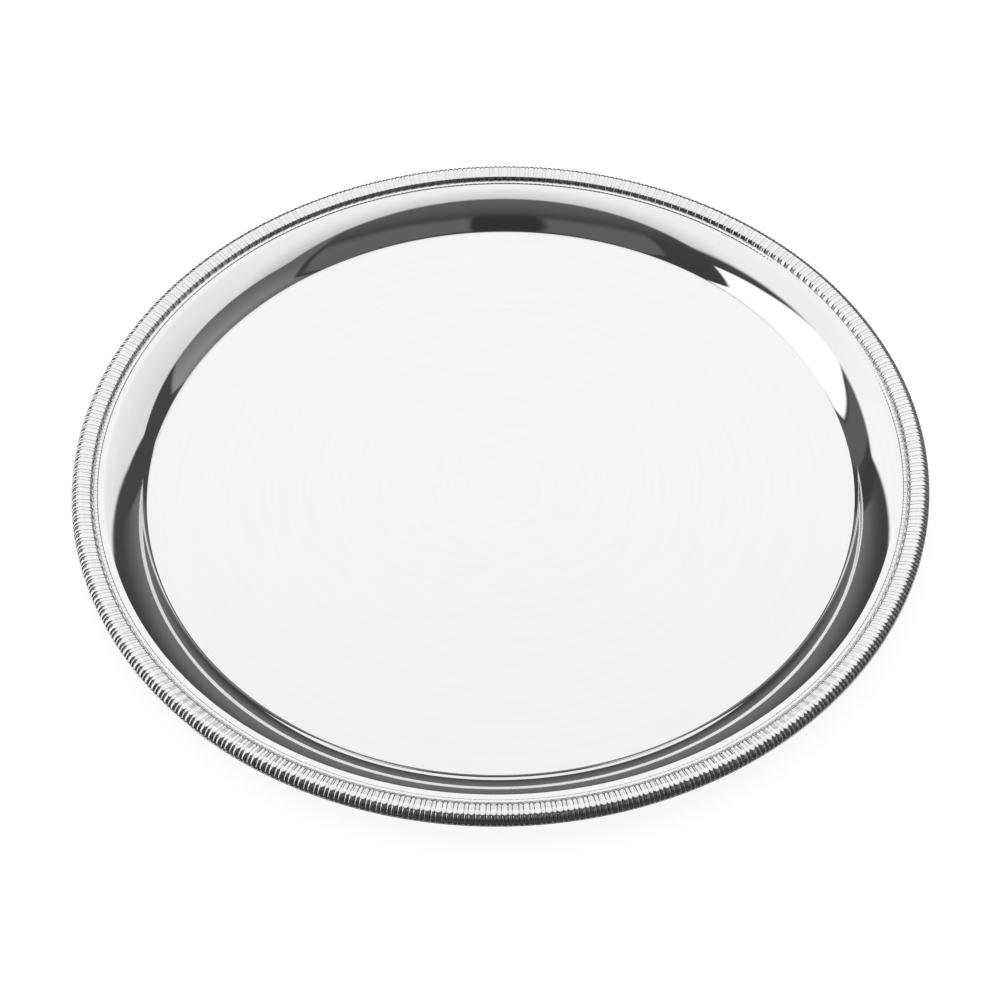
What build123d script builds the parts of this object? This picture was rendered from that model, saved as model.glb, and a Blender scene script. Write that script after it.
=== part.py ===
"""Round silver salver: a spun tray with an applied, struck gadroon border.

Frame: millimetres, +Z up, origin at the centre of the underside.
Every section below is drawn in the XZ plane, X being the distance from the axis, and turned about Z.
"""
from build123d import *
import math
import os

# Overall
RIM_RADIUS = 175.0            # widest point of the border
SHEET = 1.2                   # thickness of the spun sheet

# Tray body, read from the axis outwards along its upper face
WELL_RADIUS = 144.9           # the well is flat out to here
WELL_FILLET = (2.0, 40.0)     # curves of the wall: radius, and the slope in degrees where each ends
FOOT = (14.0, 49.0)           # the hollow eases up to the steepest slope
LOWER_WALL = (32.0, 36.0)     # from here outwards the body is domed
UPPER_WALL = (46.0, 23.8)
BROW = (2.4, 11.0)            # quick turn from the wall into the flange
FLANGE = (22.0, 0.0)
SHEET_EDGE_RADIUS = 172.3     # trimmed edge of the sheet, inside the border

# Gadroon border: struck strip with a lobed face, filled and soldered on in lengths
SECTIONS = 7
STRIP = 0.8                   # thickness of the struck strip
TOP_SLOPE = 16.0              # rise of the lobed face towards the rim
OUTER_RADIUS = 3.4            # the face rounds over the rim and down to upright
TOE_RISE = 1.85               # height of the lobes' inner tips above the flange
TOE_RUN = 1.1                 # how far those tips lean outwards
RIM_BAND = 12.2               # height of the joint between the strip and the edge wire

# Milgrain wire, and the plain wire under the rim
MILGRAIN_INNER = 164.3
MILGRAIN_OUTER = 166.1
MILGRAIN_HEIGHT = 0.45
EDGE_WIRE_INNER = 172.6
EDGE_WIRE_DROP = 1.0
SOLDER_FILLET_RUN = 2.4       # the filling tapers out under the flange by this much
WIRE_FLATS = 8                # narrow flats that stand for the round of a half-round wire

# Where the flange ends, level: the border is seated from here outwards
HOLLOW_CURVES = (WELL_FILLET, FOOT)
DOMED_CURVES = (LOWER_WALL, UPPER_WALL, BROW, FLANGE)
SEAT_RADIUS = WELL_RADIUS
SEAT_HEIGHT = SHEET
start = 0.0
for radius, end in HOLLOW_CURVES + DOMED_CURVES:
    SEAT_RADIUS += radius * abs(math.sin(math.radians(end)) - math.sin(math.radians(start)))
    SEAT_HEIGHT += radius * abs(math.cos(math.radians(end)) - math.cos(math.radians(start)))
    start = end
TOE_RADIUS = SEAT_RADIUS + TOE_RUN
TOE_HEIGHT = SEAT_HEIGHT + TOE_RISE
TOP_RUN = RIM_RADIUS - TOE_RADIUS - OUTER_RADIUS * (1 + math.sin(math.radians(TOP_SLOPE)))
TOP_LENGTH = TOP_RUN / math.cos(math.radians(TOP_SLOPE))
SECTION_ANGLE = 360.0 / SECTIONS


def body_line(depth):
    """The tray body's face at a depth below its upper face, from the axis to the sheet's edge."""
    well = Line((0, SHEET - depth), (WELL_RADIUS, SHEET - depth))
    curve = well
    slope = 0.0
    for radius, end_slope in HOLLOW_CURVES:
        curve = JernArc(curve @ 1, curve % 1, radius + depth, end_slope - slope)
        slope = end_slope
    for radius, end_slope in DOMED_CURVES:
        curve = JernArc(curve @ 1, curve % 1, radius - depth, end_slope - slope)
        slope = end_slope
    seat = Line(curve @ 1, (SHEET_EDGE_RADIUS, SEAT_HEIGHT - depth))
    return well @ 0, seat @ 1


def strip_line(depth):
    """The border's lobed face at a depth below its crest line, from toe to rim band."""
    slope = math.radians(TOP_SLOPE)
    toe = (TOE_RADIUS + depth * math.sin(slope), TOE_HEIGHT - depth * math.cos(slope))
    top = PolarLine(toe, TOP_LENGTH, TOP_SLOPE)
    outer = JernArc(top @ 1, top % 1, OUTER_RADIUS - depth, -(TOP_SLOPE + 90))
    face = Line(outer @ 1, (RIM_RADIUS - depth, RIM_BAND))
    return toe, face @ 1


def half_round(inner, outer, base, rise):
    """The round of a half-round wire from its inner to its outer edge; a negative rise hangs down."""
    middle = (inner + outer) / 2
    half_width = (outer - inner) / 2
    turns = [math.pi * step / WIRE_FLATS for step in range(WIRE_FLATS + 1)]
    Polyline(*[(middle - half_width * math.cos(turn), base + rise * math.sin(turn)) for turn in turns])


# Tray body: one spun sheet with well, wall and flange
with BuildPart() as tray_body:
    with BuildSketch(Plane.XZ):
        with BuildLine():
            upper_start, upper_end = body_line(0)
            lower_start, lower_end = body_line(SHEET)
            Line(upper_start, lower_start)
            Line(upper_end, lower_end)
        make_face()
    revolve(axis=Axis.Z)

# Gadroon border: one struck length, drawn over the crests of its lobes
with BuildPart() as border_length:
    with BuildSketch(Plane.XZ):
        with BuildLine():
            outer_start, outer_end = strip_line(0)
            inner_start, inner_end = strip_line(STRIP)
            Polyline(outer_start, (SEAT_RADIUS, SEAT_HEIGHT), (inner_start[0], SEAT_HEIGHT), inner_start)
            Line(outer_end, inner_end)
        make_face()
    revolve(axis=Axis.Z, revolution_arc=SECTION_ANGLE)

# Filling: soft solder run into the hollow back of the border and out under the flange
with BuildPart() as border_filling:
    with BuildSketch(Plane.XZ):
        with BuildLine():
            inner_start, inner_end = strip_line(STRIP)
            underside = SEAT_HEIGHT - SHEET
            taper = (SHEET_EDGE_RADIUS - SOLDER_FILLET_RUN, underside)
            Polyline(inner_end, (EDGE_WIRE_INNER, RIM_BAND))
            TangentArc(taper, (EDGE_WIRE_INNER, RIM_BAND), tangent=(1, 0))
            Polyline(
                taper,
                (SHEET_EDGE_RADIUS, underside),
                (SHEET_EDGE_RADIUS, SEAT_HEIGHT),
                (inner_start[0], SEAT_HEIGHT),
                inner_start,
            )
        make_face()
    revolve(axis=Axis.Z)

# Edge wire: plain half-round wire that closes the border below
with BuildPart() as edge_wire:
    with BuildSketch(Plane.XZ):
        with BuildLine():
            half_round(EDGE_WIRE_INNER, RIM_RADIUS, RIM_BAND, -EDGE_WIRE_DROP)
            Line((EDGE_WIRE_INNER, RIM_BAND), (RIM_RADIUS, RIM_BAND))
        make_face()
    revolve(axis=Axis.Z)

# Milgrain wire: low half-round wire soldered along the inner side of the border
with BuildPart() as milgrain_wire:
    with BuildSketch(Plane.XZ):
        with BuildLine():
            half_round(MILGRAIN_INNER, MILGRAIN_OUTER, SEAT_HEIGHT, MILGRAIN_HEIGHT)
            Polyline(
                (MILGRAIN_OUTER, SEAT_HEIGHT),
                (MILGRAIN_OUTER, SEAT_HEIGHT - SHEET / 2),
                (MILGRAIN_INNER, SEAT_HEIGHT - SHEET / 2),
                (MILGRAIN_INNER, SEAT_HEIGHT),
            )
        make_face()
    revolve(axis=Axis.Z)
    add(tray_body.part, mode=Mode.SUBTRACT)

pieces = {
    "tray_body": tray_body.part,
    "milgrain_wire": milgrain_wire.part,
    "border_filling": border_filling.part,
    "edge_wire": edge_wire.part,
}
for number in range(SECTIONS):
    with BuildPart() as border_section:
        add(border_length.part, rotation=(0, 0, number * SECTION_ANGLE))
    pieces[f"border_section_{number + 1}"] = border_section.part

os.makedirs("parts", exist_ok=True)
for node, solid in pieces.items():
    solid.label = node
    export_step(solid, f"parts/{node}.step")
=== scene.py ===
"""Round silver salver: the looks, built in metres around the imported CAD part."""
import math

import bpy
import numpy as np
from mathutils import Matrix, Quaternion, Vector


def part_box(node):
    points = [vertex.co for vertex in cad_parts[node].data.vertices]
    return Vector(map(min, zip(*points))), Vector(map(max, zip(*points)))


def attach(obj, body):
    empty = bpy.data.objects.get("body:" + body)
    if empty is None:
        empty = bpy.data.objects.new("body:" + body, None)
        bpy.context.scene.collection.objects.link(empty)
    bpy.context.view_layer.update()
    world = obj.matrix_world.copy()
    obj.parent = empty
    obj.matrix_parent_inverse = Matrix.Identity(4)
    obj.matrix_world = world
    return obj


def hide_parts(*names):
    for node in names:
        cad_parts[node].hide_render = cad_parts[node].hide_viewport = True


MM = 0.001

# ---------------------------------------------------------------- the frame and its driving sizes
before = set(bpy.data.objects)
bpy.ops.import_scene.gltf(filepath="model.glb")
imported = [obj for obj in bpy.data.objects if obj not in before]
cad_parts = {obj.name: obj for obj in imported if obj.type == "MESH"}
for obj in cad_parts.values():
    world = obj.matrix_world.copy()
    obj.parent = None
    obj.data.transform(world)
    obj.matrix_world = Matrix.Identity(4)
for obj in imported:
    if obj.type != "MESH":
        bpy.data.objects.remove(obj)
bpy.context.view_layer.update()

SECTION_NODES = [node for node in sorted(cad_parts) if node.startswith("border_section_")]
SECTION_TURN = 2 * math.pi / len(SECTION_NODES)
LOBES = 266                                   # repeats round the rim, each a wide lobe and a narrow rib
LOBES_PER_SECTION = LOBES // len(SECTION_NODES)
RING_STEPS = 1064                             # steps round the smooth turned pieces

# Tray body, as in the CAD part
SHEET = 1.2 * MM
WELL_RADIUS = 144.9 * MM
HOLLOW_CURVES = ((2.0 * MM, 40.0, 20), (14.0 * MM, 49.0, 12))       # radius, slope at the end, steps
DOMED_CURVES = ((32.0 * MM, 36.0, 40), (46.0 * MM, 23.8, 50), (2.4 * MM, 11.0, 12), (22.0 * MM, 0.0, 30))
FLANGE_RADIUS = DOMED_CURVES[-1][0]
SHEET_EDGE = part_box("tray_body")[1].x
SEAT_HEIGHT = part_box("tray_body")[1].z

# Border, as in the CAD part
RIM_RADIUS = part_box("border_section_1")[1].x
RIM_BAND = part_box("border_section_1")[0].z
STRIP = 0.8 * MM
TOP_SLOPE = math.radians(16.0)
OUTER_RADIUS = 3.4 * MM
TOE_RISE = 1.85 * MM
TOE_RUN = 1.1 * MM
TOE_ROUNDING = 0.8 * MM                       # the CAD part leaves the toe sharp

# Relief of the lobed face: groove depth and fullness of the lobes at the toe, on top and outside
TOE_RELIEF = 0.3 * MM
TOP_RELIEF = 0.14 * MM
OUTER_RELIEF = 0.85 * MM
TOE_FULLNESS = 3.0
TOP_FULLNESS = 6.0
OUTER_FULLNESS = 2.0
HOLLOW_DEPTH = 0.04 * MM                      # the wide lobes are slightly hollow along the middle
HOLLOW_WIDTH = 0.7                            # width of that hollow as a part of the lobe's width
WIDE_SHARE = 0.61                             # part of each repeat that the wide lobe takes
RIB_LEAD = 1.0 * MM                           # the ribs' inner tips start this far before the toe's top
RIB_DROP = 0.06 * MM                          # the ribs' crests lie this much lower
LOBE_END = 0.35 * MM                          # plain band left below the lobes' lower ends
WIDE_STEPS = 16
RIB_STEPS = 12
FOOT_STEPS = 6                                # steps along each stretch of the outline
TOE_STEPS = 8
TOP_STEPS = 14
OUTER_STEPS = 36
BAND_STEPS = 5
TOE_MARKS = (-4, 3)                           # the relief settles between these points round the toe's end
OUTER_MARKS = (5, 14)                         # it deepens between these points after the top's end
BACK_START = 2                                # the strip's back starts this many points after the toe's end

# Milgrain wire: a row of beads on a low strip
BEADS = 2 * LOBES
BEAD_STEPS = 10
BEAD_FILL = 0.92                              # bead length as a part of the bead pitch
BEAD_FLOOR = 0.8                              # height between the beads as a part of the wire's height
BEAD_SQUARENESS = 4
WIRE_SQUARENESS = 3
MILGRAIN_WIDTH = 1.8 * MM
MILGRAIN_STEPS = 18
WIRE_SEAT = 0.1 * MM                          # the wire is sunk into the flange this deep

# Edge wire and the solder behind the border
EDGE_WIRE_INNER = 172.6 * MM
EDGE_WIRE_STEPS = 16
SOLDER_FILLET_RUN = 2.4 * MM
SOLDER_FILLET_STEPS = 14
SOLDER_WAVE = 0.03 * MM                       # unevenness left where the solder was wiped off
SOLDER_WAVES = ((41, 0.0, 0.5), (97, 1.0, 0.3), (173, 2.0, 0.2))    # waves round the rim, phase, share

# Slots, and the colours of clean silver, of tarnish with painted shade for the grooves, and of solder
SILVER = "polished_silver"
BORDER_SILVER = "border_silver"
SOLDER = "soft_solder"
BRIGHT = (0.93, 0.93, 0.926, 1)
SOFTER = (0.918, 0.92, 0.921, 1)
STRUCK = (0.93, 0.93, 0.925, 1)
# tarnish, darkened further to paint the shade down in the border's grooves
TARNISH_AND_GROOVE_SHADE = (0.4, 0.395, 0.385, 1)
SOLDER_DARK = (0.46, 0.46, 0.47, 1)
SOLDER_LIGHT = (0.62, 0.62, 0.63, 1)


# ---------------------------------------------------------------- outlines and meshes
def arc(centre, radius, start, end, steps):
    """Points (r, z) on an arc; angles in radians, counted from +r towards +z."""
    turns = np.linspace(start, end, steps + 1)
    return np.column_stack([centre[0] + radius * np.cos(turns), centre[1] + radius * np.sin(turns)])


def run(start, end, steps):
    """Points (r, z) on a straight run, both ends included."""
    return np.linspace(start, end, steps + 1)


def joined(*stretches):
    """One outline from several stretches, each of which starts where the last one ends."""
    points = [stretches[0]] + [stretch[1:] for stretch in stretches[1:]]
    return np.concatenate(points)


def new_object(name, vertices, faces, material):
    """A smooth-shaded mesh object from an array of vertices and a list of faces."""
    mesh = bpy.data.meshes.new(name)
    mesh.from_pydata(vertices.tolist(), [], faces)
    mesh.polygons.foreach_set("use_smooth", [True] * len(mesh.polygons))
    mesh.materials.append(material)
    mesh.update()
    piece = bpy.data.objects.new(name, mesh)
    bpy.context.scene.collection.objects.link(piece)
    return piece


def grid_faces(rows, columns, rows_close, columns_close):
    """Quads between neighbouring points of a grid numbered row by row."""
    faces = []
    for row in range(rows if rows_close else rows - 1):
        here = row * columns
        after = (row + 1) % rows * columns
        for column in range(columns if columns_close else columns - 1):
            following = (column + 1) % columns
            faces.append((here + column, after + column, after + following, here + following))
    return faces


def around(radii, heights, turns):
    """Grid of points from radius and height arrays, one row per outline point and one column per turn."""
    x = radii * np.cos(turns)
    y = radii * np.sin(turns)
    return np.stack([x, y, heights + 0 * x], axis=-1).reshape(-1, 3)


def turned_ring(name, outline, material):
    """A ring: a closed outline turned about Z. The outline runs so that the solid lies to its right."""
    turns = np.linspace(0, 2 * math.pi, RING_STEPS, endpoint=False)
    vertices = around(outline[:, :1], outline[:, 1:], turns[None, :])
    return new_object(name, vertices, grid_faces(len(outline), RING_STEPS, True, True), material)


def turned_disc(name, outline, material):
    """A disc: an outline that starts and ends on the axis, turned about Z."""
    middle = outline[1:-1]
    turns = np.linspace(0, 2 * math.pi, RING_STEPS, endpoint=False)
    ring = around(middle[:, :1], middle[:, 1:], turns[None, :])
    poles = np.array([[0, 0, outline[0][1]], [0, 0, outline[-1][1]]])
    faces = grid_faces(len(middle), RING_STEPS, False, True)
    first_pole = len(ring)
    last_row = (len(middle) - 1) * RING_STEPS
    for step in range(RING_STEPS):
        following = (step + 1) % RING_STEPS
        faces.append((first_pole, step, following))
        faces.append((last_row + step, first_pole + 1, last_row + following))
    return new_object(name, np.concatenate([ring, poles]), faces, material)


# ---------------------------------------------------------------- tray body
def body_face(depth):
    """The tray body's face at a depth below its upper face, from the axis to where the flange ends level."""
    top = SHEET - depth
    quarter = math.pi / 2
    near_edge = WELL_RADIUS - 1.0 * MM         # finer steps just before the well turns up
    line = joined(run((0, top), (near_edge, top), 6), run((near_edge, top), (WELL_RADIUS, top), 8))
    slope = 0.0
    for radius, end_degrees, steps in HOLLOW_CURVES:
        end_slope = math.radians(end_degrees)
        outer = radius + depth
        centre = line[-1] + outer * np.array([-math.sin(slope), math.cos(slope)])
        line = joined(line, arc(centre, outer, slope - quarter, end_slope - quarter, steps))
        slope = end_slope
    for radius, end_degrees, steps in DOMED_CURVES:
        end_slope = math.radians(end_degrees)
        inner = radius - depth
        centre = line[-1] + inner * np.array([math.sin(slope), -math.cos(slope)])
        line = joined(line, arc(centre, inner, quarter + slope, quarter + end_slope, steps))
        slope = end_slope
    return line


SEAT_RADIUS = body_face(0.0)[-1][0]


def make_tray_body(material):
    """The spun sheet: both faces parallel from the axis to the trimmed edge."""
    seat_steps = 6
    upper = body_face(0.0)
    upper = joined(upper, run(upper[-1], (SHEET_EDGE, upper[-1][1]), seat_steps))
    lower = body_face(SHEET)
    lower = joined(lower, run(lower[-1], (SHEET_EDGE, lower[-1][1]), seat_steps))
    edge = run(upper[-1], lower[-1], 4)
    outline = joined(upper, edge, lower[::-1])
    return turned_disc("tray_body_turned", outline, material)


# ---------------------------------------------------------------- gadroon border
def strip_outline():
    """Crest line of the lobed face: points (r, z), outward normals, the way from the foot, and two marks.

    The line climbs from the seat, rounds the toe, rises along the top and rounds over the rim to the upright
    band. The marks are the numbers of the points where the toe and the top end.
    """
    toe_radius = SEAT_RADIUS + TOE_RUN
    toe_height = SEAT_HEIGHT + TOE_RISE
    toe_heading = math.atan2(TOE_RISE, TOE_RUN)
    top_run = RIM_RADIUS - toe_radius - OUTER_RADIUS * (1 + math.sin(TOP_SLOPE))
    top_end = (toe_radius + top_run, toe_height + top_run * math.tan(TOP_SLOPE))
    quarter = math.pi / 2
    toe_centre = (
        toe_radius + TOE_ROUNDING * math.sin(TOP_SLOPE),
        toe_height - TOE_ROUNDING * math.cos(TOP_SLOPE),
    )
    outer_centre = (RIM_RADIUS - OUTER_RADIUS, top_end[1] - OUTER_RADIUS * math.cos(TOP_SLOPE))
    toe = arc(toe_centre, TOE_ROUNDING, quarter + toe_heading, quarter + TOP_SLOPE, TOE_STEPS)
    outer = arc(outer_centre, OUTER_RADIUS, quarter + TOP_SLOPE, 0.0, OUTER_STEPS)
    band = (RIM_RADIUS, RIM_BAND)
    foot = (toe[0][0] - (toe[0][1] - SEAT_HEIGHT) / math.tan(toe_heading), SEAT_HEIGHT)
    stretches = [
        run(foot, toe[0], FOOT_STEPS),
        toe,
        run(toe[-1], outer[0], TOP_STEPS),
        outer,
        run(outer[-1], band, BAND_STEPS),
    ]
    line = joined(*stretches)
    along = np.gradient(line, axis=0)
    along /= np.linalg.norm(along, axis=1)[:, None]
    normals = np.column_stack([-along[:, 1], along[:, 0]])
    steps = np.linalg.norm(np.diff(line, axis=0), axis=1)
    way = np.concatenate([[0.0], np.cumsum(steps)])
    ends = np.cumsum([len(stretch) - 1 for stretch in stretches])
    return line, normals, way, ends[1:3]


def strip_back(line, normals, toe_end):
    """The back of the strip, one thickness behind the crest line, from the toe to the band."""
    return (line - normals * STRIP)[toe_end + BACK_START:]


def pill(across, way, half_width, start, end, fullness):
    """Height, 0 to 1, of a lobe with rounded ends; across runs from -1 to 1 over the lobe's width."""
    before = np.maximum(0, start + half_width - way) / half_width
    beyond = np.maximum(0, way - end + half_width) / half_width
    out = np.clip(np.hypot(across, np.maximum(before, beyond)), 0, 1)
    return (1 - out ** fullness) ** (1 / fullness)


def lobe_columns():
    """Places across one repeat, closer together near the grooves.

    Each is the part of the repeat passed, the place across its lobe from -1 to 1, and whether that lobe is
    the wide one.
    """
    columns = []
    for share, middle, steps, is_wide in (
        (WIDE_SHARE, WIDE_SHARE / 2, WIDE_STEPS, True),
        (1 - WIDE_SHARE, (1 + WIDE_SHARE) / 2, RIB_STEPS, False),
    ):
        for step in range(steps):
            across = -math.cos(math.pi * step / steps)
            columns.append((middle + across * share / 2, across, is_wide))
    return columns


def make_border_section(number, node, material):
    """One struck length of the border: the lobed face, closed behind by the plain back of the strip."""
    line, normals, way, (toe_end, top_end) = strip_outline()
    pitch = SECTION_TURN / LOBES_PER_SECTION
    repeat = lobe_columns()
    columns = []
    for lobe in range(LOBES_PER_SECTION):
        columns += [(lobe + place, across, wide) for place, across, wide in repeat]
    columns.append((LOBES_PER_SECTION, -1.0, True))
    turns = (number * LOBES_PER_SECTION + np.array([column[0] for column in columns])) * pitch
    across = np.array([column[1] for column in columns])[None, :]
    wide = np.array([column[2] for column in columns])[None, :]
    pitch_length = pitch * RIM_RADIUS
    marks = way[[toe_end + mark for mark in TOE_MARKS] + [top_end + mark for mark in OUTER_MARKS]]
    relief = np.interp(way, marks, [TOE_RELIEF, TOP_RELIEF, TOP_RELIEF, OUTER_RELIEF])[:, None]
    fullness = np.interp(way, marks, [TOE_FULLNESS, TOP_FULLNESS, TOP_FULLNESS, OUTER_FULLNESS])[:, None]
    path = way[:, None]
    lobes_end = way[-1] - LOBE_END
    wide_half = pitch_length * WIDE_SHARE / 2
    rib_half = pitch_length * (1 - WIDE_SHARE) / 2
    wide_height = pill(across, path, wide_half, -wide_half, lobes_end, fullness)
    rib_height = pill(across, path, rib_half, way[toe_end] - RIB_LEAD, lobes_end, fullness)
    dip = HOLLOW_DEPTH * np.clip(1 - (across / HOLLOW_WIDTH) ** 2, 0, 1) ** 2
    height = np.where(wide, wide_height * relief - dip, rib_height * (relief - RIB_DROP))
    depth = relief - height
    radii = line[:, :1] - normals[:, :1] * depth
    heights = line[:, 1:] - normals[:, 1:] * depth
    heights[0] = SEAT_HEIGHT
    heights[-1] = RIM_BAND
    back_line = strip_back(line, normals, toe_end)[::-1]
    back_line = np.concatenate([[[back_line[0][0], RIM_BAND]], back_line, [[back_line[-1][0], SEAT_HEIGHT]]])
    ones = np.ones((1, len(turns)))
    all_radii = np.concatenate([radii, back_line[:, :1] * ones])
    all_heights = np.concatenate([heights, back_line[:, 1:] * ones])
    vertices = around(all_radii, all_heights, turns[None, :])
    rows = len(all_radii)
    faces = grid_faces(rows, len(turns), True, False)
    faces.append(tuple(row * len(turns) for row in range(rows)))
    faces.append(tuple((row + 1) * len(turns) - 1 for row in reversed(range(rows))))
    piece = new_object(f"{node}_lobed", vertices, faces, material)
    # groove depth, which drives the tarnish and the painted shade in the border's material
    groove = np.concatenate([np.clip(depth / relief, 0, 1), 0 * back_line[:, :1] * ones])
    tarnish_and_shade = piece.data.attributes.new("groove", "FLOAT", "POINT")
    tarnish_and_shade.data.foreach_set("value", groove.reshape(-1).astype(np.float32))
    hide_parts(node)
    return piece


# ---------------------------------------------------------------- wires and filling
def make_milgrain_wire(material):
    """Low wire with a row of beads, following the flange's slope underneath."""
    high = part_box("milgrain_wire")[1]
    outer = high.x
    inner = outer - MILGRAIN_WIDTH
    radii = np.linspace(inner, outer, MILGRAIN_STEPS + 1)
    out = ((radii - inner) / (outer - inner) * 2 - 1)[:, None]
    base = SEAT_HEIGHT - FLANGE_RADIUS + np.sqrt(FLANGE_RADIUS ** 2 - (SEAT_RADIUS - radii) ** 2)
    rise = high.z - base[:, None]
    turns = np.linspace(0, 2 * math.pi, BEADS * BEAD_STEPS, endpoint=False)
    along = (np.arange(BEADS * BEAD_STEPS) % BEAD_STEPS) / BEAD_STEPS * 2 - 1
    across_wire = np.sqrt(np.clip(1 - np.abs(out) ** WIRE_SQUARENESS, 0, 1))
    bead_out = (along[None, :] / BEAD_FILL) ** BEAD_SQUARENESS
    bead = np.sqrt(np.clip(1 - bead_out - (out / BEAD_FILL) ** BEAD_SQUARENESS, 0, 1))
    top = base[:, None] + np.maximum(BEAD_FLOOR * across_wire, bead) * rise
    under = np.stack([base[-1:] - WIRE_SEAT, base[:1] - WIRE_SEAT])
    ones = np.ones((1, len(turns)))
    all_radii = np.concatenate([radii[:, None], [[outer]], [[inner]]]) * ones
    all_heights = np.concatenate([top, under * ones])
    vertices = around(all_radii, all_heights, turns[None, :])
    faces = grid_faces(len(all_radii), len(turns), True, True)
    piece = new_object("milgrain_wire_beaded", vertices, faces, material)
    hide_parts("milgrain_wire")
    return piece


def make_edge_wire(material):
    """Plain half-round wire, its flat side up against the border and the solder."""
    low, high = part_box("edge_wire")
    middle = (EDGE_WIRE_INNER + high.x) / 2
    half_width = (high.x - EDGE_WIRE_INNER) / 2
    turns = np.linspace(0, math.pi, EDGE_WIRE_STEPS + 1)
    round_heights = high.z - (high.z - low.z) * np.sin(turns)
    round_side = np.column_stack([middle + half_width * np.cos(turns), round_heights])
    outline = joined(round_side, run(round_side[-1], round_side[0], 6))[:-1]
    piece = turned_ring("edge_wire_turned", outline, material)
    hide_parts("edge_wire")
    return piece


def make_border_filling(material):
    """Soft solder behind the border; its wiped face runs from under the flange to the edge wire."""
    line, normals, _, (toe_end, _) = strip_outline()
    back = strip_back(line, normals, toe_end)
    underside = SEAT_HEIGHT - SHEET
    taper_radius = SHEET_EDGE - SOLDER_FILLET_RUN
    reach = EDGE_WIRE_INNER - taper_radius
    fall = underside - RIM_BAND
    curve = (reach ** 2 + fall ** 2) / (2 * fall)
    quarter = math.pi / 2
    low_end = quarter - math.asin(reach / curve)
    wiped = arc((taper_radius, underside - curve), curve, low_end, quarter, SOLDER_FILLET_STEPS)
    corners = [(SHEET_EDGE, underside), (SHEET_EDGE, SEAT_HEIGHT), (back[0][0], SEAT_HEIGHT)]
    outline = np.concatenate([back, [(RIM_RADIUS - STRIP, RIM_BAND)], wiped, corners])
    turns = np.linspace(0, 2 * math.pi, RING_STEPS, endpoint=False)[None, :]
    waves = sum(share * np.sin(count * turns + phase) for count, phase, share in SOLDER_WAVES)
    heights = outline[:, 1:] + 0 * turns
    first = len(back) + 1
    belly = np.sin(np.linspace(0, math.pi, len(wiped)))[:, None]
    heights[first:first + len(wiped)] -= SOLDER_WAVE * belly * (1 + waves) / 2
    vertices = around(outline[:, :1], heights, turns)
    faces = grid_faces(len(outline), RING_STEPS, True, True)
    piece = new_object("border_filling_wiped", vertices, faces, material)
    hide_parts("border_filling")
    return piece


# ---------------------------------------------------------------- materials
class Nodes:
    """Short names for the shader nodes used here."""

    def __init__(self, tree):
        self.tree = tree

    def put(self, kind, inputs=(), **settings):
        """A new node with its settings, each input either linked to a socket or set to a value."""
        node = self.tree.nodes.new(kind)
        for name, value in settings.items():
            setattr(node, name, value)
        for key, value in dict(inputs).items():
            if isinstance(value, bpy.types.NodeSocket):
                self.tree.links.new(value, node.inputs[key])
            else:
                node.inputs[key].default_value = value
        return node

    def math(self, operation, *values):
        return self.put("ShaderNodeMath", dict(enumerate(values)), operation=operation).outputs[0]

    def step(self, value, start, end, low=0.0, high=1.0):
        """Smooth change from low to high while value goes from start to end."""
        inputs = {"Value": value, "From Min": start, "From Max": end, "To Min": low, "To Max": high}
        return self.put("ShaderNodeMapRange", inputs, interpolation_type="SMOOTHSTEP").outputs["Result"]

    def noise(self, vector, scale, detail, roughness=0.5):
        inputs = {"Vector": vector, "Scale": scale, "Detail": detail, "Roughness": roughness}
        return self.put("ShaderNodeTexNoise", inputs, noise_dimensions="3D").outputs["Fac"]

    def above(self, value, edge, softness):
        """1 where value is above edge, 0 below it."""
        return self.step(value, edge - softness, edge + softness)

    def under(self, value, edge, softness):
        """1 where value is under edge, 0 above it."""
        return self.step(value, edge + softness, edge - softness)

    def between(self, value, low, high, softness):
        """1 where value is between low and high, 0 on both sides."""
        return self.math("MULTIPLY", self.above(value, low, softness), self.under(value, high, softness))

    def layer(self, base, mask, light):
        """Base where mask is 0, light where it is 1."""
        return self.math("ADD", base, self.math("MULTIPLY", mask, self.math("SUBTRACT", light, base)))

    def mix(self, amount, first, second):
        node = self.put("ShaderNodeMix", data_type="RGBA")
        for socket, value in ((node.inputs[0], amount), (node.inputs[6], first), (node.inputs[7], second)):
            if isinstance(value, bpy.types.NodeSocket):
                self.tree.links.new(value, socket)
            else:
                socket.default_value = value
        return node.outputs[2]


def metal(name):
    """A metal without a colour yet: its material, its nodes, its shader and the place on the object."""
    material = bpy.data.materials.new(name)
    material.use_nodes = True
    nodes = Nodes(material.node_tree)
    shader = material.node_tree.nodes["Principled BSDF"]
    shader.inputs["Metallic"].default_value = 1.0
    place = nodes.put("ShaderNodeTexCoord").outputs["Object"]
    return material, nodes, shader, place


def finish_metal(nodes, shader, tint, roughness, height, depth):
    """Join colour, roughness and fine relief, depth in metres, to the shader."""
    bump = nodes.put("ShaderNodeBump", {"Height": height, "Strength": 1.0, "Distance": depth})
    nodes.tree.links.new(tint, shader.inputs["Base Color"])
    nodes.tree.links.new(roughness, shader.inputs["Roughness"])
    nodes.tree.links.new(bump.outputs[0], shader.inputs["Normal"])


def streaks(nodes, place, radial_scale, spread, detail):
    """Noise drawn out round the axis: fine across the radius, long around the turn."""
    x, y, z = nodes.put("ShaderNodeSeparateXYZ", {0: place}).outputs
    radius = nodes.math("SQRT", nodes.math("ADD", nodes.math("MULTIPLY", x, x), nodes.math("MULTIPLY", y, y)))
    angle = nodes.math("ARCTAN2", y, x)
    vector = nodes.put(
        "ShaderNodeCombineXYZ",
        {
            0: nodes.math("MULTIPLY", nodes.math("COSINE", angle), spread),
            1: nodes.math("MULTIPLY", nodes.math("SINE", angle), spread),
            2: nodes.math("MULTIPLY", nodes.math("ADD", radius, z), radial_scale),
        },
    ).outputs[0]
    return nodes.noise(vector, 1.0, detail)


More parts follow.
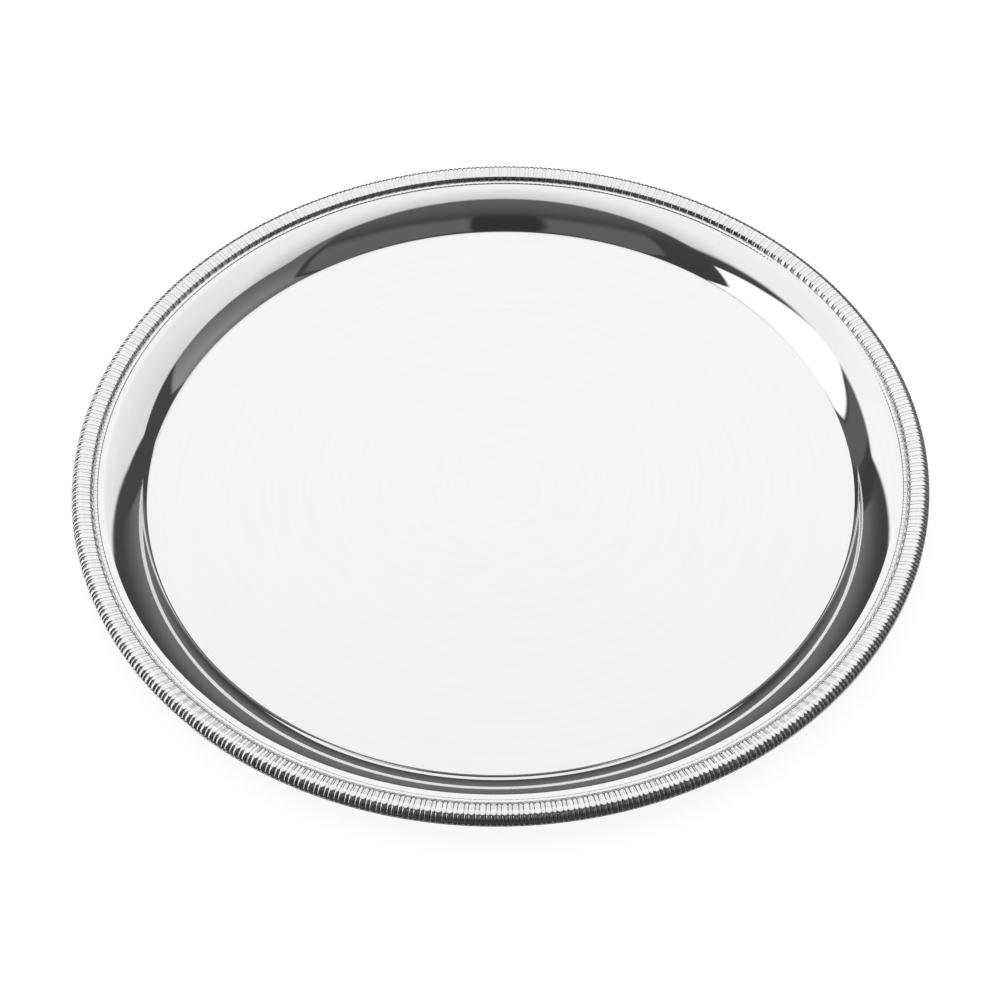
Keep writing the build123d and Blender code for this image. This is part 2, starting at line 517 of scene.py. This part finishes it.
def polished_silver():
    """Mirror polish with the faintest hair lines left by the turning."""
    material, nodes, shader, place = metal(SILVER)
    haze = nodes.noise(place, scale=14.0, detail=4.0)
    fine = streaks(nodes, place, radial_scale=2600.0, spread=6.0, detail=3.0)
    broad = streaks(nodes, place, radial_scale=420.0, spread=3.0, detail=2.0)
    tint = nodes.mix(nodes.step(broad, 0.4, 0.7), BRIGHT, SOFTER)
    polish = nodes.step(haze, 0.35, 0.7, low=0.025, high=0.05)
    roughness = nodes.math("ADD", polish, nodes.step(fine, 0.6, 0.75, low=0.0, high=0.05))
    height = nodes.math("ADD", nodes.math("MULTIPLY", fine, 0.25), broad)
    finish_metal(nodes, shader, tint, roughness, height, depth=0.6e-6)
    return material


def struck_silver():
    """Struck and buffed silver, duller down in the grooves and darker there with tarnish and painted shade.
    """
    material, nodes, shader, place = metal(BORDER_SILVER)
    groove = nodes.put("ShaderNodeAttribute", attribute_name="groove").outputs["Fac"]
    grain = nodes.noise(place, scale=1800.0, detail=3.0)
    patches = nodes.noise(place, scale=160.0, detail=3.0)
    uneven = nodes.step(patches, 0.25, 0.6, low=0.6, high=1.0)
    # tarnish with painted shade: the grooves are darkened by their depth, in uneven patches
    tarnish_and_shade = nodes.math("MULTIPLY", nodes.step(groove, 0.35, 1.0), uneven)
    tint = nodes.mix(tarnish_and_shade, STRUCK, TARNISH_AND_GROOVE_SHADE)
    buffing = nodes.step(patches, 0.3, 0.7, low=0.06, high=0.12)
    roughness = nodes.math("ADD", buffing, nodes.math("MULTIPLY", tarnish_and_shade, 0.3))
    finish_metal(nodes, shader, tint, roughness, grain, depth=4e-6)
    return material


def wiped_solder():
    """Dull mottled solder with marks of the wiping that follow the rim."""
    material, nodes, shader, place = metal(SOLDER)
    mottle = nodes.noise(place, scale=240.0, detail=5.0, roughness=0.6)
    wiped = streaks(nodes, place, radial_scale=900.0, spread=8.0, detail=3.0)
    tint = nodes.mix(nodes.step(mottle, 0.3, 0.7), SOLDER_DARK, SOLDER_LIGHT)
    roughness = nodes.step(wiped, 0.3, 0.7, low=0.38, high=0.55)
    finish_metal(nodes, shader, tint, roughness, nodes.math("ADD", mottle, wiped), depth=3e-5)
    return material


# ---------------------------------------------------------------- light, floor and camera
# The studio as seen from the salver. Overhead it is laid out on a ceiling at height 1, x to the right and y
# away from the viewer. Round the sides it goes by azimuth (0 away, 90 right) and elevation, in degrees.
# Two numbers are an edge and its blur; three are two edges and their blur.
BLACK = 0.05
COOL = (0.975, 0.995, 1.05, 1)                # tint of the dark parts of the studio
WHITE = (1, 1, 1, 1)
TINT_FADE = (0.03, 0.14)                      # brightnesses at which the tint starts and stops fading

# Overhead: a white panel and a narrower runner that goes on from its far edge
PANEL_CORNERS = [(-0.65, -0.225), (0.76, -0.225), (2.45, 1.52), (-1.72, 1.6)]
PANEL_SOFTNESS = [0.02, 0.03, 0.08, 0.05]     # blur of the edge that starts at each corner
RUNNER_HALF_WIDTH = 0.275
RUNNER_SIDE_SOFTNESS = 0.025
RUNNER_REACH = (1.0, 2.25, 0.1)
PANEL_HORIZON = (0.04, 0.02)                  # upward part of the direction at which it stops

# Screens round the sides: where they end, and their brightness where it is even
FAR_ROOM = (106, 6)                           # up to this azimuth either way the room is darker
FAR_ROOM_LIGHT = 0.06
FAR_SCREEN_LEFT = (-41, 1)
FAR_SCREEN_RIGHT = (52, 1)
FAR_SCREEN_LEAN = 0.72                        # degrees of azimuth for a degree of elevation
NARROW_SCREEN = (-47.5, -41, 1.0)
NARROW_SCREEN_LEAN = 0.1
LEFT_SCREEN = (-61, -50.5, 0.7)
LEFT_SCREEN_LIGHT = 0.11
RIGHT_SCREEN = (73, 118, 1.0)
FRONT_SCREENS = ((121, 172, 1.5, 0.125), (-164, -128, 1.5, 0.115))  # two edges, blur, brightness
FRONT_SCREENS_TOP = (52, 5)
VIEWER_AZIMUTH = 183.5
VIEWER_HALF_WIDTH = (10.75, 0.75)
VIEWER_TOP = (55, 7)
VIEWER_LIGHT = 0.035
FRONT_TURN = (100, 120)                       # the screens darken from the first azimuth to the second
FRONT_DROP = (40, 0)                          # and from the first elevation down to the second
FRONT_LOSS = 0.65

# Changes of brightness: where each starts and ends, and the brightness at both
PANEL_AWAY = (0.3, 1.0, 0.92, 0.985)
PANEL_NEAR = (-0.26, 0.06, -0.28, 0.0)
PANEL_RIGHT = (0.1, 1.5, 0.0, 0.22)
ROOM_RISE = (48, 76, BLACK, 0.115)
FAR_SCREEN_FALL = (25, 3, 0.055, 0.16)
RIGHT_SCREEN_FALL = (50, 15, 0.13, 0.27)
TABLE_TURN = (125, 105, 0.04, 0.14)

# Window on the left, on a wall at distance 1, and below the horizon the table with the window's glow
WINDOW_SIDES = (-108, -62.5, 0.8)
WINDOW_TOP = (1.03, 0.03)
WINDOW_LIGHT = 1.1
TABLE_DARK_END = (-61, 1)
TABLE_HORIZON = (0.0, 1.5)
GLOW_SIDES = (-106, -63, 1.0)
GLOW_BOTTOM = (-38, 4)
GLOW_LIGHT = 1.0
SHALLOWEST = 0.02                             # keeps the divisions by height and distance in bounds


def overhead_panel(nodes, side, away):
    """Mask and brightness of the white panel with its runner."""
    panel = 1.0
    for number, (start, softness) in enumerate(zip(PANEL_CORNERS, PANEL_SOFTNESS)):
        end = PANEL_CORNERS[(number + 1) % len(PANEL_CORNERS)]
        length = math.hypot(end[0] - start[0], end[1] - start[1])
        across = (-(end[1] - start[1]) / length, (end[0] - start[0]) / length)
        offset = -(across[0] * start[0] + across[1] * start[1])
        forward = nodes.math("MULTIPLY_ADD", away, across[1], offset)
        distance = nodes.math("ADD", forward, nodes.math("MULTIPLY", side, across[0]))
        panel = nodes.math("MULTIPLY", panel, nodes.above(distance, 0.0, softness))
    runner = nodes.under(nodes.math("ABSOLUTE", side), RUNNER_HALF_WIDTH, RUNNER_SIDE_SOFTNESS)
    runner = nodes.math("MULTIPLY", runner, nodes.between(away, *RUNNER_REACH))
    panel = nodes.math("MAXIMUM", panel, runner)
    light = nodes.math("ADD", nodes.step(away, *PANEL_AWAY), nodes.step(away, *PANEL_NEAR))
    light = nodes.math("SUBTRACT", light, nodes.step(side, *PANEL_RIGHT))
    return panel, light


def side_screens(nodes, azimuth, elevation):
    """Brightness of the grey and black screens round the sides, above the table."""
    turn = nodes.math("ABSOLUTE", azimuth)
    room = nodes.step(elevation, *ROOM_RISE)
    room = nodes.layer(room, nodes.under(turn, *FAR_ROOM), FAR_ROOM_LIGHT)
    leaning = nodes.math("MULTIPLY_ADD", elevation, FAR_SCREEN_LEAN, azimuth)
    left = nodes.above(azimuth, *FAR_SCREEN_LEFT)
    far_screen = nodes.math("MULTIPLY", left, nodes.under(leaning, *FAR_SCREEN_RIGHT))
    room = nodes.layer(room, far_screen, nodes.step(elevation, *FAR_SCREEN_FALL))
    leaning = nodes.math("MULTIPLY_ADD", elevation, NARROW_SCREEN_LEAN, azimuth)
    room = nodes.layer(room, nodes.between(leaning, *NARROW_SCREEN), BLACK)
    room = nodes.layer(room, nodes.between(azimuth, *LEFT_SCREEN), LEFT_SCREEN_LIGHT)
    right_light = nodes.step(elevation, *RIGHT_SCREEN_FALL)
    room = nodes.layer(room, nodes.between(azimuth, *RIGHT_SCREEN), right_light)
    low = nodes.under(elevation, *FRONT_SCREENS_TOP)
    for start, end, softness, light in FRONT_SCREENS:
        screen = nodes.math("MULTIPLY", nodes.between(azimuth, start, end, softness), low)
        room = nodes.layer(room, screen, light)
    whole_turn = nodes.math("MODULO", nodes.math("ADD", azimuth, 360), 360)
    from_viewer = nodes.math("ABSOLUTE", nodes.math("SUBTRACT", whole_turn, VIEWER_AZIMUTH))
    viewer = nodes.under(from_viewer, *VIEWER_HALF_WIDTH)
    viewer = nodes.math("MULTIPLY", viewer, nodes.under(elevation, *VIEWER_TOP))
    room = nodes.layer(room, viewer, VIEWER_LIGHT)
    front = nodes.math("MULTIPLY", nodes.step(turn, *FRONT_TURN), nodes.step(elevation, *FRONT_DROP))
    kept = nodes.math("SUBTRACT", 1.0, nodes.math("MULTIPLY", front, FRONT_LOSS))
    return nodes.math("MULTIPLY", room, kept)


def window_mask(nodes, x, z, azimuth):
    """1 inside the window on the left."""
    wall = nodes.math("MAXIMUM", nodes.math("MULTIPLY", x, -1.0), SHALLOWEST)
    height = nodes.math("DIVIDE", z, wall)
    return nodes.math("MULTIPLY", nodes.between(azimuth, *WINDOW_SIDES), nodes.under(height, *WINDOW_TOP))


def table_light(nodes, azimuth, elevation):
    """Brightness below the horizon, with the glow of the window on the left."""
    table = nodes.step(azimuth, *TABLE_TURN)
    table = nodes.layer(table, nodes.under(azimuth, *TABLE_DARK_END), BLACK)
    glow = nodes.between(azimuth, *GLOW_SIDES)
    glow = nodes.math("MULTIPLY", glow, nodes.above(elevation, *GLOW_BOTTOM))
    return nodes.layer(table, glow, GLOW_LIGHT)


def make_world():
    """The studio's light: panel overhead, window on the left, screens round the sides, table below."""
    world = bpy.data.worlds.new("studio")
    bpy.context.scene.world = world
    world.use_nodes = True
    tree = world.node_tree
    nodes = Nodes(tree)
    direction = nodes.put("ShaderNodeTexCoord").outputs["Generated"]
    x, y, z = nodes.put("ShaderNodeSeparateXYZ", {0: direction}).outputs
    up = nodes.math("MAXIMUM", z, SHALLOWEST)
    panel, panel_light = overhead_panel(nodes, nodes.math("DIVIDE", x, up), nodes.math("DIVIDE", y, up))
    azimuth = nodes.math("MULTIPLY", nodes.math("ARCTAN2", x, y), 180 / math.pi)
    elevation = nodes.math("MULTIPLY", nodes.math("ARCSINE", z), 180 / math.pi)
    light = side_screens(nodes, azimuth, elevation)
    light = nodes.layer(light, window_mask(nodes, x, z, azimuth), WINDOW_LIGHT)
    below = nodes.under(elevation, *TABLE_HORIZON)
    light = nodes.layer(light, below, table_light(nodes, azimuth, elevation))
    panel = nodes.math("MULTIPLY", panel, nodes.above(z, *PANEL_HORIZON))
    light = nodes.layer(light, panel, panel_light)
    tint = nodes.mix(nodes.step(light, *TINT_FADE), COOL, WHITE)
    tree.links.new(light, tree.nodes["Background"].inputs["Strength"])
    tree.links.new(tint, tree.nodes["Background"].inputs["Color"])


# Floor and camera: in metres, the lens and its sensor in millimetres
FLOOR_REACH = 4.0
FLOOR_LEVEL = -0.1 * MM                       # just clear of the underside
FLOOR_COLOUR = (0.3, 0.3, 0.3, 1.0)
FLOOR_GLOW = 0.9                              # light of its own that keeps the floor nearly white
LENS = 90.0
SENSOR = 36.0
CAMERA_ELEVATION = math.radians(50.4)
CAMERA_DISTANCE = 1.035
CAMERA_SIDE = -0.00025                        # the salver sits this much to the right of the view's middle
CAMERA_DROP = 0.0084                          # and this much above it
CAMERA_ROLL = math.radians(-1.15)


def make_floor():
    """Plain pale floor; it is left out of mirror reflections, which show the studio instead."""
    mesh = bpy.data.meshes.new("floor")
    quarters = ((-1, -1), (1, -1), (1, 1), (-1, 1))
    corners = [(x * FLOOR_REACH, y * FLOOR_REACH, FLOOR_LEVEL) for x, y in quarters]
    mesh.from_pydata(corners, [], [(0, 1, 2, 3)])
    floor = bpy.data.objects.new("floor", mesh)
    bpy.context.scene.collection.objects.link(floor)
    material = bpy.data.materials.new("floor_white")
    material.use_nodes = True
    shader = material.node_tree.nodes["Principled BSDF"]
    shader.inputs["Base Color"].default_value = FLOOR_COLOUR
    shader.inputs["Roughness"].default_value = 1.0
    shader.inputs["Specular IOR Level"].default_value = 0.0
    shader.inputs["Emission Color"].default_value = WHITE
    shader.inputs["Emission Strength"].default_value = FLOOR_GLOW
    mesh.materials.append(material)
    floor.visible_glossy = False


def make_camera():
    """Camera above and in front of the salver, looking down at the middle of its well."""
    data = bpy.data.cameras.new("camera")
    data.lens = LENS
    data.sensor_width = SENSOR
    data.clip_start = 0.01
    camera = bpy.data.objects.new("camera", data)
    bpy.context.scene.collection.objects.link(camera)
    bpy.context.scene.camera = camera
    forward = Vector((0, math.cos(CAMERA_ELEVATION), -math.sin(CAMERA_ELEVATION)))
    up = Vector((1, 0, 0)).cross(forward)
    camera.location = Vector((CAMERA_SIDE, 0, SHEET)) - forward * CAMERA_DISTANCE - up * CAMERA_DROP
    camera.rotation_mode = "QUATERNION"
    camera.rotation_quaternion = forward.to_track_quat("-Z", "Y") @ Quaternion((0, 0, 1), CAMERA_ROLL)


# ---------------------------------------------------------------- assembly
silver = polished_silver()
border_silver = struck_silver()
solder = wiped_solder()

tray = make_tray_body(silver)
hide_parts("tray_body")
milgrain = make_milgrain_wire(border_silver)
edge = make_edge_wire(border_silver)
filling = make_border_filling(solder)
border = [make_border_section(number, node, border_silver) for number, node in enumerate(SECTION_NODES)]
for piece in [tray, milgrain, edge, filling] + border:
    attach(piece, "root")

make_world()
make_floor()
make_camera()
bpy.context.scene.view_settings.view_transform = "Standard"
